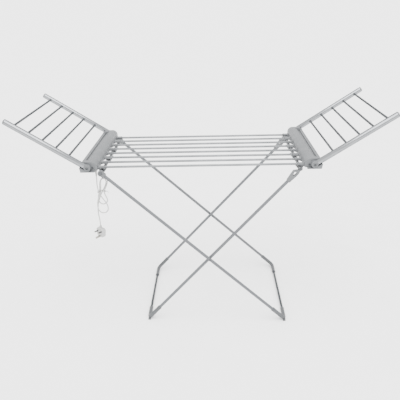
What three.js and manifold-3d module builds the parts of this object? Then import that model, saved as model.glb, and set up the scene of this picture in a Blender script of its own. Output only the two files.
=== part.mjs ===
// Free-standing heated clothes airer: a table of drying bars between two moulded end beams, a folding
// wing on each end beam, and a crossed pair of leg frames under the table.
// Millimetres. +X runs along the drying bars, +Y across them, +Z up; the feet stand on z = 0.

import * as THREE from "three";
import { mergeVertices } from "three/addons/utils/BufferGeometryUtils.js";
import Module from "manifold-3d";

const wasm = await Module();
wasm.setup();

// ---- Driving dimensions -------------------------------------------------------------------------

const gap = 0.3; // clearance between two pieces that touch
const turnGap = 0.5; // clearance beside a piece that turns

// Table of drying bars
const tableHalfLength = 403; // middle of the table to the inner face of an end beam
const barCount = 8;
const barPitch = 62.3;
const barRadius = 4.5;
const barWall = 1;
const barHeight = 712; // bar axis above the floor
const barSeat = 7; // how far a bar reaches into the end beam
const collarWall = 2.6;
const collarLength = 25;

// End beams
const beamWidth = 67;
const beamDrop = 5; // bar axis down to the bottom of a beam
const beamRise = 31; // bar axis up to the top of a beam
const beamInnerRound = 22;
const beamWall = 3;
const beamEndMargin = 29.45; // outermost bar axis to the end of a beam
const beamSolidEnd = 52; // solid length at each end of the beam, outside the hollow
const beamOuterRound = 23;
const beamCrown = 4; // flat width between the inner and the outer round
const beamSlant = 5; // the outer side leans in towards the bottom
const grooveWidth = 8;
const grooveDepth = 14; // top of a beam down to the floor of the groove
const stripWidth = 14;
const stripDrop = 8; // top of a beam down to its outer strip
const earDepth = 24;
const earTop = 53; // inner face of a beam to the outer end of an ear's flat top
const earChamfer = 7;

// Pivot rods under the table
const rodInset = 11; // inner face of a beam to the pivot rod, towards the middle
const rodDrop = 18; // bar axis down to the rod axis
const rodRadius = 4;
const rodHeadRadius = 6.2;
const rodHeadLength = 2;
const lugWall = 3.7;
const lugThickness = 12;
const lugReach = 31; // inner face of a beam to the wide end of a lug
const lugEdge = 3;
const lugSeat = 9; // how far a lug runs under the beam
const lugMargin = 45.5; // end of a beam to the middle of its outer lug

// Wings
const wingPivotInset = 35; // inner face of a beam to the wing pivot, outwards
const wingPivotRise = 10.5; // bar axis up to the wing pivot
const wingRise = THREE.MathUtils.degToRad(32.5);
const wingLength = 355;
const railRadius = 11;
const railWall = 1.2;
const wingBarCount = 5;
const wingBarRadius = 4.4;
const wingBarWall = 0.8;
const firstWingBar = 84.5; // wing pivot to the first bar
const lastWingBar = 40; // last bar to the tip of the rail
const knuckleOverRail = 2; // how far a knuckle stands out beyond its rail
const knuckleSpigot = 50;
const capLength = 6;
const capSpigot = 16;
const pinRadius = 3;
const pinHeadRadius = 5;
const pinHeadLength = 3.2;
const pinGrip = 18; // length of a hinge pin inside the ear

// Leg frames
const legRadius = 6.5;
const legWall = 1.1;
const crossRadius = 5.5;
const crossWall = 1;
const outerFoot = 351; // distance of the outer frame's feet from the middle
const innerFoot = 242;
const footClear = 1.5; // underside of an elbow above the floor
const legSpacing = 5.5; // free width between an outer and an inner leg
const elbowWall = 1.7;
const elbowLength = 72;
const crossSleeveWall = 2.1;
const crossSleeveLength = 78;
const legSeat = 20; // corner to the end of the leg tube inside the elbow
const padLength = 34;
const padWidth = 12;
const webReach = 30;
const webThickness = 5;
const spigotLength = 25;
const hingeHeadWall = 7.7;
const hingeFittingLength = 19;
const hingeFittingHalf = 9.5;
const clipFittingLength = 70;
const clipLip = 3.4;
const clipReach = 9; // upper lip of the clip, from the rod axis
const clipShoulder = 28; // rod axis to the widest place of the clip's body, along the mouth
const rivetRadius = 2.5;
const rivetHeadRadius = 5;
const rivetHeadLength = 2;

// Mains cord and plug
const cordRadius = 2.3;
const glandInset = 12; // inner face of the left beam to the strain relief
const glandMargin = 25.5; // front end of the left beam to the strain relief
const glandLength = 30;
const glandWall = 3.7;
const glandSpigotWall = 1.2;
const glandSpigotLength = 10;
const plugWidth = 46;
const plugHeight = 40;
const plugDepth = 17;
const plugCorner = 10;
const plugNeckRadius = 5;
const plugNeckLength = 10;
const plugTurn = THREE.MathUtils.degToRad(-38);
const livePin = { width: 6.4, height: 4, length: 17.7 };
const earthPin = { width: 4, height: 8, length: 22.7 };
const pinSpacing = 22.2;
const livePinRise = 7; // live and neutral pins above the middle of the plug
const plugPinSeat = 3;

// ---- Derived places -----------------------------------------------------------------------------

const beamBottom = barHeight - beamDrop;
const beamTop = barHeight + beamRise;
const beamHalfDepth = ((barCount - 1) / 2) * barPitch + beamEndMargin;
const grooveStart = beamWidth - stripWidth - grooveWidth;
const collarRadius = barRadius + gap + collarWall;
const rodHalfSpan = tableHalfLength - rodInset; // middle of the table to a pivot rod
const rodHeight = barHeight - rodDrop;
const lugRadius = rodRadius + gap + lugWall;
const lugRows = [barPitch, beamHalfDepth - lugMargin]; // lugs from the middle, on both sides
const wingPivotSpan = tableHalfLength + wingPivotInset;
const wingPivotHeight = barHeight + wingPivotRise;
const wingBarPitch = (wingLength - firstWingBar - lastWingBar) / (wingBarCount - 1);
const knuckleRadius = railRadius + knuckleOverRail;
const elbowRadius = legRadius + gap + elbowWall;
const crossSleeveRadius = crossRadius + gap + crossSleeveWall;
const footHeight = elbowRadius + footClear; // corner of a leg frame above the floor
const hingeHeadRadius = rodRadius + gap + hingeHeadWall;
const glandPlace = [-tableHalfLength - glandInset, glandMargin - beamHalfDepth];
const glandRadius = cordRadius + glandWall;
const glandSpigotRadius = cordRadius + glandSpigotWall;
const railOffset = beamHalfDepth + turnGap + railRadius; // rail axis from the middle, along Y
const cradleReach = railOffset + railRadius;
const outerLegOffset = beamHalfDepth - legRadius - turnGap; // outer leg axis, along Y
const innerLegOffset = outerLegOffset - 2 * legRadius - legSpacing;
const fittingHalf = legRadius + turnGap; // half thickness of the fittings on the pivot rods
const legDrop = rodHeight - footHeight;
const outerAngle = Math.atan2(legDrop, rodHalfSpan + outerFoot);
const innerAngle = Math.atan2(legDrop, rodHalfSpan + innerFoot);
const outerLegLength = legDrop / Math.sin(outerAngle);
const innerLegLength = legDrop / Math.sin(innerAngle);
// The law of sines in the triangle of the two pivot rods and the crossing
const crossing = (2 * rodHalfSpan) / Math.sin(outerAngle + innerAngle);
const outerCrossing = crossing * Math.sin(innerAngle);
const innerCrossing = crossing * Math.sin(outerAngle);

// ---- Materials ----------------------------------------------------------------------------------

function finish(color, roughness, metalness) {
  return new THREE.MeshStandardMaterial({ color, roughness, metalness });
}

const aluminium = () => finish(0xc9cbcc, 0.35, 0.9);
const greyPlastic = () => finish(0xa9abac, 0.55, 0);
const legSteel = () => finish(0xc2c4c5, 0.4, 0.4);
const darkSteel = () => finish(0x5a5c5e, 0.4, 0.8);
const whitePlastic = () => finish(0xececea, 0.45, 0);
const blackPlastic = () => finish(0x1c1c1d, 0.5, 0);
const brass = () => finish(0xc8ab62, 0.3, 0.9);

// ---- Solids -------------------------------------------------------------------------------------

// A closed geometry as a solid that can be joined and cut.
function solid(geometry) {
  const bare = geometry.clone();
  bare.deleteAttribute("normal");
  bare.deleteAttribute("uv");
  const merged = mergeVertices(bare, 1e-4);
  const mesh = new wasm.Mesh({
    numProp: 3,
    vertProperties: new Float32Array(merged.attributes.position.array),
    triVerts: new Uint32Array(merged.index.array),
  });
  return new wasm.Manifold(mesh);
}

function geometryOf(body) {
  const mesh = body.getMesh();
  const geometry = new THREE.BufferGeometry();
  geometry.setAttribute("position", new THREE.BufferAttribute(mesh.vertProperties, 3));
  geometry.setIndex(new THREE.BufferAttribute(mesh.triVerts, 1));
  return geometry;
}

// Joins the first list of geometries and cuts away the second.
function shaped(joined, removed = []) {
  let body = solid(joined[0]);
  for (const extra of joined.slice(1)) body = body.add(solid(extra));
  for (const tool of removed) body = body.subtract(solid(tool));
  return geometryOf(body);
}

// A round bar between two points.
function round(radius, from, to, sides = 16) {
  const start = new THREE.Vector3(...from);
  const along = new THREE.Vector3(...to).sub(start);
  const bar = new THREE.CylinderGeometry(radius, radius, along.length(), sides);
  const turn = new THREE.Quaternion().setFromUnitVectors(
    new THREE.Vector3(0, 1, 0),
    along.clone().normalize(),
  );
  bar.applyQuaternion(turn);
  const middle = start.addScaledVector(along, 0.5);
  return bar.translate(middle.x, middle.y, middle.z);
}

// A round tube between two points, open at both ends.
function pipe(radius, wall, from, to, sides = 16) {
  const overrun = new THREE.Vector3(...to).sub(new THREE.Vector3(...from)).setLength(1);
  const start = new THREE.Vector3(...from).sub(overrun).toArray();
  const end = new THREE.Vector3(...to).add(overrun).toArray();
  return [round(radius, from, to, sides), round(radius - wall, start, end, sides)];
}

// A lathe profile of [radius, place] pairs turned about Y.
function turned(profile, sides = 16) {
  return new THREE.LatheGeometry(profile.map(([r, y]) => new THREE.Vector2(r, y)), sides);
}

// An outline in X and Z, extruded from one Y to another.
function slab(outline, fromY, toY, curveSegments = 6) {
  const plate = new THREE.ExtrudeGeometry(outline, {
    depth: toY - fromY,
    bevelEnabled: false,
    curveSegments,
  });
  plate.rotateX(Math.PI / 2);
  return plate.translate(0, toY, 0);
}

function polygon(points) {
  return new THREE.Shape(points.map(([x, z]) => new THREE.Vector2(x, z)));
}

function block(width, depth, height, x, y, z) {
  return new THREE.BoxGeometry(width, depth, height).translate(x, y, z);
}

// ---- Scene graph --------------------------------------------------------------------------------

const airer = new THREE.Group();

function place(group, name, geometry, material) {
  const mesh = new THREE.Mesh(geometry, material);
  mesh.name = name;
  group.add(mesh);
  return mesh;
}

// A group whose +X runs from a pivot outwards: side 1 to the right, -1 to the left, rising by an angle.
function arm(side, x, z, rise) {
  const group = new THREE.Group();
  group.position.set(x, 0, z);
  group.rotation.set(0, -side * rise, side > 0 ? 0 : Math.PI);
  airer.add(group);
  return group;
}

// ---- Table --------------------------------------------------------------------------------------

const table = new THREE.Group();
airer.add(table);

const barPlaces = Array.from({ length: barCount }, (_, i) => (i - (barCount - 1) / 2) * barPitch);

// Points of the rounded inner top edge, from the inner face up to the top.
function innerRound(side, inset) {
  const radius = beamInnerRound - inset;
  const steps = 5;
  return Array.from({ length: steps + 1 }, (_, i) => {
    const turn = (i / steps) * (Math.PI / 2);
    const x = tableHalfLength + beamInnerRound - radius * Math.cos(turn);
    return [side * x, beamTop - beamInnerRound + radius * Math.sin(turn)];
  });
}

// Points of the outer round, from the crown down to the groove.
function outerRound(side) {
  const steps = 4;
  const centre = beamInnerRound + beamCrown;
  const sweep = Math.asin((grooveStart - centre) / beamOuterRound);
  return Array.from({ length: steps + 1 }, (_, i) => {
    const turn = (sweep * i) / steps;
    const x = tableHalfLength + centre + beamOuterRound * Math.sin(turn);
    return [side * x, beamTop - beamOuterRound + beamOuterRound * Math.cos(turn)];
  });
}

function beamOutline(side) {
  const outer = tableHalfLength + beamWidth;
  const strip = outer - stripWidth;
  return polygon([
    [side * tableHalfLength, beamBottom],
    ...innerRound(side, 0),
    ...outerRound(side),
    [side * (strip - grooveWidth), beamTop - grooveDepth],
    [side * strip, beamTop - grooveDepth],
    [side * strip, beamTop - stripDrop],
    [side * outer, beamTop - stripDrop],
    [side * (outer - beamSlant), beamBottom],
  ]);
}

function hollowOutline(side) {
  const outer = tableHalfLength + beamWidth - beamSlant - beamWall;
  const roof = beamTop - grooveDepth - beamWall;
  return polygon([
    [side * (tableHalfLength + beamWall), beamBottom - 1],
    ...innerRound(side, beamWall).filter(([, z]) => z < roof),
    [side * (tableHalfLength + beamInnerRound), roof],
    [side * outer, roof],
    [side * outer, beamBottom - 1],
  ]);
}

function earOutline(side) {
  const outer = tableHalfLength + beamWidth;
  return polygon([
    [side * (tableHalfLength + earChamfer), beamBottom],
    [side * tableHalfLength, beamBottom + earChamfer],
    ...innerRound(side, 0),
    [side * (tableHalfLength + earTop), beamTop],
    [side * outer, beamTop - stripDrop],
    [side * (outer - beamSlant), beamBottom],
  ]);
}

// The cradle in front of an ear: a floor under the knuckle, hollowed to its round, and a raised outer end
// that the rail rests on when the wing is up.
function cradleOutline(side) {
  const steps = 6;
  const clear = knuckleRadius + turnGap;
  const under = railRadius + turnGap;
  const from = -Math.PI / 2;
  const to = from + wingRise + Math.acos(under / clear);
  const hollow = Array.from({ length: steps + 1 }, (_, i) => {
    const turn = from + ((to - from) * i) / steps;
    return [wingPivotInset + clear * Math.cos(turn), wingPivotHeight + clear * Math.sin(turn)];
  });
  // The underside of the rail meets the leaning outer side of the beam.
  const [startX, startZ] = hollow.at(-1);
  const foot = beamWidth - beamSlant;
  const slant = beamSlant / (beamTop - stripDrop - beamBottom);
  const run = (foot + slant * (startZ - beamBottom) - startX) / (1 - slant * Math.tan(wingRise));
  const rest = [startX + run, startZ + run * Math.tan(wingRise)];
  const outline = [
    [earChamfer, beamBottom],
    [earChamfer, hollow[0][1]],
    ...hollow,
    rest,
    [foot, beamBottom],
  ];
  return polygon(outline.map(([x, z]) => [side * (tableHalfLength + x), z]));
}

// A gusset from the underside of the beam to the pivot rod, wide at the top and round below the rod.
function lugOutline(side) {
  const steps = 7;
  const low = THREE.MathUtils.degToRad(205);
  const high = THREE.MathUtils.degToRad(335);
  const below = Array.from({ length: steps + 1 }, (_, i) => {
    const turn = low + ((high - low) * i) / steps;
    const x = rodHalfSpan + lugRadius * Math.cos(turn);
    return [side * x, rodHeight + lugRadius * Math.sin(turn)];
  });
  const wideEnd = side * (tableHalfLength - lugReach);
  return polygon([
    [wideEnd, beamBottom + 1],
    [wideEnd, beamBottom - lugEdge],
    ...below,
    [side * (tableHalfLength + lugSeat), beamBottom + 1],
  ]);
}

function endBeam(side) {
  const joined = [slab(beamOutline(side), -beamHalfDepth, beamHalfDepth)];
  const hollowEnd = beamHalfDepth - beamSolidEnd;
  const removed = [slab(hollowOutline(side), -hollowEnd, hollowEnd)];
  for (const end of [-1, 1]) {
    const earFaces = [end * (beamHalfDepth - earDepth), end * beamHalfDepth].sort((a, b) => a - b);
    const cradleFaces = [end * (beamHalfDepth - 1), end * cradleReach].sort((a, b) => a - b);
    joined.push(slab(earOutline(side), ...earFaces), slab(cradleOutline(side), ...cradleFaces));
    removed.push(
      round(
        pinRadius + gap,
        [side * wingPivotSpan, end * (beamHalfDepth - pinGrip - gap), wingPivotHeight],
        [side * wingPivotSpan, end * (beamHalfDepth + 1), wingPivotHeight],
        12,
      ),
    );
    for (const row of lugRows) {
      joined.push(slab(lugOutline(side), end * row - lugThickness / 2, end * row + lugThickness / 2));
    }
  }
  for (const y of barPlaces) {
    const face = side * (tableHalfLength + 1);
    const mouth = side * (tableHalfLength - collarLength);
    const seat = side * (tableHalfLength + barSeat + gap);
    joined.push(round(collarRadius, [mouth, y, barHeight], [face, y, barHeight], 14));
    removed.push(round(barRadius + gap, [mouth - side, y, barHeight], [seat, y, barHeight], 12));
  }
  const rodEnd = beamHalfDepth;
  const rod = [side * rodHalfSpan, rodHeight];
  removed.push(
    round(rodRadius + gap, [rod[0], -rodEnd, rod[1]], [rod[0], rodEnd, rod[1]], 12),
  );
  if (side < 0) {
    const [x, y] = glandPlace;
    const seat = beamBottom + glandSpigotLength + gap;
    removed.push(round(glandSpigotRadius + gap, [x, y, beamBottom - 1], [x, y, seat], 12));
  }
  return shaped(joined, removed);
}

place(table, "left_end_beam", endBeam(-1), greyPlastic());
place(table, "right_end_beam", endBeam(1), greyPlastic());

const barEnd = tableHalfLength + barSeat;
barPlaces.forEach((y, i) => {
  const [outside, inside] = pipe(barRadius, barWall, [-barEnd, y, barHeight], [barEnd, y, barHeight], 12);
  place(table, `dryer_bar_${i + 1}`, shaped([outside], [inside]), aluminium());
});

// A pivot rod with an upset head at each end, centred on the middle of the table.
function pivotRod(halfLength) {
  const shoulder = halfLength - rodHeadLength;
  return turned([
    [0, -halfLength],
    [rodHeadRadius, -halfLength],
    [rodHeadRadius, -shoulder],
    [rodRadius, -shoulder],
    [rodRadius, shoulder],
    [rodHeadRadius, shoulder],
    [rodHeadRadius, halfLength],
    [0, halfLength],
  ], 12);
}

const rodHeadClear = fittingHalf + gap + rodHeadLength;
const leftRod = place(table, "left_pivot_rod", pivotRod(outerLegOffset + rodHeadClear), darkSteel());
leftRod.position.set(-rodHalfSpan, 0, rodHeight);
const rightRod = place(table, "right_pivot_rod", pivotRod(innerLegOffset + rodHeadClear), darkSteel());
rightRod.position.set(rodHalfSpan, 0, rodHeight);

// ---- Wings --------------------------------------------------------------------------------------

const wingBarPlaces = Array.from({ length: wingBarCount }, (_, i) => firstWingBar + i * wingBarPitch);
const railBore = railRadius - railWall;
const railStart = knuckleRadius + 1;
const railEnd = wingLength - capLength - gap;

function wingRail(y, inward) {
  const [outside, inside] = pipe(railRadius, railWall, [railStart, y, 0], [railEnd, y, 0], 20);
  const holes = wingBarPlaces.map((x) =>
    round(wingBarRadius + gap, [x, y + inward * (railRadius + 1), 0], [x, y + inward * 4, 0], 12),
  );
  return shaped([outside], [inside, ...holes]);
}

function wingKnuckle(y, outward) {
  const inner = y - outward * (railRadius - gap);
  const outer = y + outward * railRadius;
  const counterbore = outer - outward * (pinHeadLength + 0.8);
  return shaped(
    [
      round(knuckleRadius, [0, inner, 0], [0, outer, 0], 24),
      round(railBore - gap, [0, y, 0], [knuckleSpigot, y, 0], 20),
    ],
    [
      round(pinRadius + gap, [0, inner - outward, 0], [0, outer + outward, 0], 12),
      round(pinHeadRadius + gap, [0, counterbore, 0], [0, outer + outward, 0], 14),
    ],
  );
}

// An end cap turned about the rail axis: a plug inside the rail and a rounded head.
function railCap() {
  const round1 = 3.5;
  return turned([
    [0, wingLength - capLength - capSpigot],
    [railBore - gap, wingLength - capLength - capSpigot],
    [railBore - gap, wingLength - capLength],
    [railRadius, wingLength - capLength],
    [railRadius, wingLength - round1],
    [railRadius - 1, wingLength - 1],
    [railRadius - round1, wingLength],
    [0, wingLength],
  ], 20).rotateZ(-Math.PI / 2);
}

function wing(label, side) {
  const group = arm(side, side * wingPivotSpan, wingPivotHeight, wingRise);
  for (const [end, sign] of [["front", -side], ["back", side]]) {
    const y = sign * railOffset;
    place(group, `${label}_wing_${end}_rail`, wingRail(y, -sign), aluminium());
    place(group, `${label}_wing_${end}_knuckle`, wingKnuckle(y, sign), greyPlastic());
    const cap = place(group, `${label}_wing_${end}_end_cap`, railCap(), greyPlastic());
    cap.position.y = y;
    const headTop = railRadius - 0.5;
    const shank = [pinRadius, beamHalfDepth - pinGrip - railOffset];
    const pin = turned([
      [0, shank[1]],
      shank,
      [pinRadius, headTop - pinHeadLength],
      [pinHeadRadius, headTop - pinHeadLength],
      [pinHeadRadius, headTop],
      [0, headTop],
    ], 12);
    if (sign < 0) pin.rotateX(Math.PI);
    const pinMesh = place(group, `${label}_${end}_hinge_pin`, pin, darkSteel());
    pinMesh.position.y = y;
  }
  const reach = railOffset - railRadius + 5;
  wingBarPlaces.forEach((x, i) => {
    const [outside, inside] = pipe(wingBarRadius, wingBarWall, [x, -reach, 0], [x, reach, 0], 12);
    place(group, `${label}_wing_bar_${i + 1}`, shaped([outside], [inside]), aluminium());
  });
}

wing("left", -1);
wing("right", 1);

// ---- Leg frames ---------------------------------------------------------------------------------

// A corner elbow: a sleeve on the leg, a sleeve on the cross tube, a web between them and a flat foot.
function footElbow(length, angle, y, inward) {
  const sleeveStart = length - elbowLength;
  const crossEnd = y + inward * crossSleeveLength;
  const webEdge = new THREE.Shape([
    new THREE.Vector2(length - webReach, y),
    new THREE.Vector2(length, y),
    new THREE.Vector2(length, y + inward * webReach),
  ]);
  const web = new THREE.ExtrudeGeometry(webEdge, { depth: webThickness, bevelEnabled: false });
  web.translate(0, 0, -webThickness / 2);
  // The pad is square to the floor, so it is turned by the slope of the leg.
  const pad = block(padWidth, padLength, footHeight, 0, 0, -footHeight / 2);
  pad.rotateY(-angle).translate(length, y + inward * (padLength / 2 - elbowRadius + 1), 0);
  return shaped(
    [
      round(elbowRadius, [sleeveStart, y, 0], [length, y, 0], 16),
      new THREE.SphereGeometry(elbowRadius, 16, 10).translate(length, y, 0),
      round(crossSleeveRadius, [length, y, 0], [length, crossEnd, 0], 14),
      web,
      pad,
    ],
    [
      round(legRadius + gap, [sleeveStart - 1, y, 0], [length - legSeat + gap, y, 0], 16),
      round(crossRadius + gap, [length, y + inward * (legSeat - gap), 0], [length, crossEnd + inward, 0], 14),
    ],
  );
}

// The head of an outer leg: a round eye on the pivot rod and a square end that plugs into the leg tube.
function hingeOutline() {
  const shape = new THREE.Shape();
  const meet = Math.asin(hingeFittingHalf / hingeHeadRadius);
  shape.absarc(0, 0, hingeHeadRadius, meet, 2 * Math.PI - meet, false);
  shape.lineTo(hingeFittingLength, -hingeFittingHalf);
  shape.lineTo(hingeFittingLength, hingeFittingHalf);
  return shape;
}

// A point given along and across the mouth of the clip, in the frame of the inner leg.
function mouthPoint(along, across) {
  return [
    along * Math.cos(innerAngle) - across * Math.sin(innerAngle),
    along * Math.sin(innerAngle) + across * Math.cos(innerAngle),
  ];
}

// The head of an inner leg: a clip that opens towards the middle of the table, on a tapered body.
function clipOutline() {
  const bore = rodRadius + gap;
  const lip = bore + clipLip;
  const backArc = (radius, from, to, steps) =>
    Array.from({ length: steps + 1 }, (_, i) => {
      const turn = innerAngle + from + ((to - from) * i) / steps;
      return [radius * Math.cos(turn), radius * Math.sin(turn)];
    });
  const quarter = Math.PI / 2;
  return polygon([
    mouthPoint(clipReach, bore),
    mouthPoint(clipReach, lip),
    ...backArc(lip, quarter, 3 * quarter, 8),
    [clipFittingLength * 0.45, -legRadius - 3],
    [clipFittingLength, -legRadius - 1],
    [clipFittingLength, legRadius + 1],
    mouthPoint(clipShoulder, -bore - 2.5),
    mouthPoint(clipReach - 4, -bore),
    ...backArc(bore, 3 * quarter, quarter, 8),
  ]);
}

// The see-through window in the body of the clip, a tapered opening between its two edges.
const clipWindow = polygon([
  [17, -1],
  [25, 9],
  [44, 3.5],
  [32, -2],
]);

function legFitting(outline, length, y) {
  return [
    slab(outline, y - fittingHalf, y + fittingHalf),
    round(legRadius - legWall - gap, [length - 1, y, 0], [length + spigotLength, y, 0], 14),
  ];
}

function legFrame(label, side, angle, length, offset, crossingPlace, top) {
  const group = arm(side, -side * rodHalfSpan, rodHeight, -angle);
  for (const [end, sign] of [["front", -side], ["back", side]]) {
    const y = sign * offset;
    const tubeStart = [top.length + gap, y, 0];
    const [outside, inside] = pipe(legRadius, legWall, tubeStart, [length - legSeat, y, 0], 16);
    const rivetHole = round(
      rivetRadius + gap,
      [crossingPlace, y - legRadius - 1, 0],
      [crossingPlace, y + legRadius + 1, 0],
      12,
    );
    place(group, `${label}_${end}_leg`, shaped([outside], [inside, rivetHole]), legSteel());
    const fitting = shaped(legFitting(top.outline, top.length, y), [top.cut(y)]);
    place(group, `${label}_${end}_${top.name}`, fitting, greyPlastic());
    place(group, `${label}_${end}_foot_elbow`, footElbow(length, angle, y, -sign), greyPlastic());
  }
  const reach = offset - legSeat;
  const [outside, inside] = pipe(crossRadius, crossWall, [length, -reach, 0], [length, reach, 0], 14);
  place(group, `${label}_foot_bar`, shaped([outside], [inside]), legSteel());
  return group;
}

const hingeTop = {
  name: "pivot_eye",
  outline: hingeOutline(),
  length: hingeFittingLength,
  cut: (y) => round(rodRadius + gap, [0, y - fittingHalf - 1, 0], [0, y + fittingHalf + 1, 0], 12),
};
const clipTop = {
  name: "rod_clip",
  outline: clipOutline(),
  length: clipFittingLength,
  cut: (y) => slab(clipWindow, y - fittingHalf - 1, y + fittingHalf + 1),
};
const outerFrame = legFrame(
  "outer",
  1,
  outerAngle,
  outerLegLength,
  outerLegOffset,
  outerCrossing,
  hingeTop,
);
legFrame("inner", -1, innerAngle, innerLegLength, innerLegOffset, innerCrossing, clipTop);

// A shouldered rivet at each crossing: it pins the inner leg to the outer leg and keeps them apart.
function crossingRivet() {
  const half = legRadius + gap;
  const near = innerLegOffset - outerLegOffset;
  return turned([
    [0, near - half - rivetHeadLength],
    [rivetHeadRadius, near - half - rivetHeadLength],
    [rivetHeadRadius, near - half],
    [rivetRadius, near - half],
    [rivetRadius, near + half],
    [rivetHeadRadius, near + half],
    [rivetHeadRadius, -half],
    [rivetRadius, -half],
    [rivetRadius, half],
    [rivetHeadRadius, half],
    [rivetHeadRadius, half + rivetHeadLength],
    [0, half + rivetHeadLength],
  ], 12);
}

for (const [end, sign] of [["front", -1], ["back", 1]]) {
  const rivet = crossingRivet();
  if (sign < 0) rivet.rotateX(Math.PI);
  const mesh = place(outerFrame, `${end}_crossing_rivet`, rivet, darkSteel());
  mesh.position.set(outerCrossing, sign * outerLegOffset, 0);
}

// ---- Mains cord and plug ------------------------------------------------------------------------

// The group hangs from the tip of the strain relief.
const cordGroup = new THREE.Group();
cordGroup.position.set(glandPlace[0], glandPlace[1], beamBottom - gap - glandLength);
airer.add(cordGroup);

const gland = turned([
  [0, 0],
  [cordRadius + 1, 0],
  [glandRadius - 1, glandLength - 6],
  [glandRadius, glandLength - 4],
  [glandRadius, glandLength],
  [glandSpigotRadius, glandLength],
  [glandSpigotRadius, glandLength + gap + glandSpigotLength],
  [0, glandLength + gap + glandSpigotLength],
], 14).rotateX(Math.PI / 2);
place(cordGroup, "cord_strain_relief", gland, whitePlastic());

// Route of the cord from the tip of the strain relief: straight down, through the tie, two loops above it
// and two below it in turn, then down to the plug.
const cordPoints = [
  [0, 0, 0],
  [0, 0, -13],
  [-1, 0, -29],
  [0, 0, -49],
  [4, -1, -70],
  [14, 0, -92],
  [27, 2, -114],
  [34, 4, -134],
  [32, 5, -150],
  [21, 7, -161],
  [5, 8, -161],
  [-6, 9, -150],
  [-9, 9, -131],
  [-6, 9, -109],
  [2, 8, -89],
  [10, 5, -69],
  [13, -1, -47],
  [15, -5, -27],
  [18, -1, -14],
  [26, 10, -9],
  [34, 20, -14],
  [37, 24, -27],
  [33, 22, -46],
  [25, 16, -64],
  [23, 13, -77],
  [28, 13, -93],
  [32, 15, -108],
  [27, 16, -121],
  [14, 16, -127],
  [1, 16, -121],
  [-4, 16, -108],
  [-3, 15, -90],
  [4, 11, -70],
  [8, 5, -50],
  [10, 2, -34],
  [13, 6, -22],
  [20, 16, -17],
  [27, 26, -22],
  [30, 30, -34],
  [25, 27, -53],
  [14, 20, -72],
  [4, 22, -92],
  [-5, 23, -115],
  [-11, 21, -141],
  [-11, 16, -169],
  [-7, 12, -196],
  [-6, 11, -221],
];
const cordRoute = new THREE.CatmullRomCurve3(
  cordPoints.map((point) => new THREE.Vector3(...point)),
  false,
  "centripetal",
);
const cordSection = new THREE.Shape().absarc(0, 0, cordRadius, 0, 2 * Math.PI, false);
const cordSteps = 76;
const cord = new THREE.ExtrudeGeometry(cordSection, {
  steps: cordSteps,
  curveSegments: 4,
  bevelEnabled: false,
  extrudePath: cordRoute,
});
place(cordGroup, "mains_cord", cord, whitePlastic()).position.z = -gap;

// The plug hangs from the cord with its pins turned to one side of the front.
const plug = new THREE.Group();
const plugTop = cordPoints.at(-1);
plug.position.set(plugTop[0], plugTop[1], plugTop[2] - 2 * gap - plugNeckLength - plugHeight / 2);
plug.rotation.z = plugTurn;
cordGroup.add(plug);

function plugOutline() {
  const half = plugWidth / 2;
  const low = half - 6; // the body narrows towards the earth pin
  const top = plugHeight / 2;
  const shape = new THREE.Shape();
  shape.moveTo(-low + plugCorner, -top);
  shape.lineTo(low - plugCorner, -top);
  shape.quadraticCurveTo(low, -top, low + 1.5, -top + plugCorner);
  shape.lineTo(half, top - plugCorner);
  shape.quadraticCurveTo(half, top, half - plugCorner, top);
  shape.lineTo(-half + plugCorner, top);
  shape.quadraticCurveTo(-half, top, -half, top - plugCorner);
  shape.lineTo(-low - 1.5, -top + plugCorner);
  shape.quadraticCurveTo(-low, -top, -low + plugCorner, -top);
  return shape;
}

const plugFace = -plugDepth / 2;
const pinPlaces = [
  { name: "plug_live_pin", size: livePin, x: pinSpacing / 2, z: livePinRise },
  { name: "plug_neutral_pin", size: livePin, x: -pinSpacing / 2, z: livePinRise },
  { name: "plug_earth_pin", size: earthPin, x: 0, z: livePinRise - pinSpacing },
];
const pinSockets = pinPlaces.map(({ size, x, z }) =>
  block(size.width + 2 * gap, 2 * (plugPinSeat + gap), size.height + 2 * gap, x, plugFace, z),
);
const neck = round(
  plugNeckRadius,
  [0, 0, plugHeight / 2 - 1],
  [0, 0, plugHeight / 2 + plugNeckLength],
  14,
);
const plugBody = shaped([slab(plugOutline(), plugFace, -plugFace, 4), neck], pinSockets);
place(plug, "plug_body", plugBody, whitePlastic());
for (const { name, size, x, z } of pinPlaces) {
  const middle = plugFace + plugPinSeat - (size.length + plugPinSeat) / 2;
  const pin = block(size.width, size.length + plugPinSeat, size.height, x, middle, z);
  place(plug, name, pin, name === "plug_earth_pin" ? brass() : blackPlastic());
}

export default airer;
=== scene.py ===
import math

import bmesh
import bpy
from mathutils import Matrix, Vector


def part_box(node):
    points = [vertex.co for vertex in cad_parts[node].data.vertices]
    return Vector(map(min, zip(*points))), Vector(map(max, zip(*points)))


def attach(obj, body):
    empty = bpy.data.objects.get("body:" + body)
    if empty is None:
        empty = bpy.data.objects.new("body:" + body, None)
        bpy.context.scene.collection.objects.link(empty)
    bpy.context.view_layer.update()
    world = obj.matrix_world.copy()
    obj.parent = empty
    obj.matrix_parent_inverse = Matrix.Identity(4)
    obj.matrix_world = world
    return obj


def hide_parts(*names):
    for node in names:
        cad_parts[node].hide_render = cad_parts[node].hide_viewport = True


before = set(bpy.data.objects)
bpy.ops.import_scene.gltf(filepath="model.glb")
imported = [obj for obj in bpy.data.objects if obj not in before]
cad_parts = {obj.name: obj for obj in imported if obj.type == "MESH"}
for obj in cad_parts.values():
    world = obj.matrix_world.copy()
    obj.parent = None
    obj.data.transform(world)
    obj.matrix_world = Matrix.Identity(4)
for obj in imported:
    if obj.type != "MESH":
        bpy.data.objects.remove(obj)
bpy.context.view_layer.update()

# Free-standing heated clothes airer. Pieces are built in millimetres, each in a frame of its own,
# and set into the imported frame, which is in metres.
mm = 0.001
print("frame loaded:", len(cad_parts), "nodes")


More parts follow.
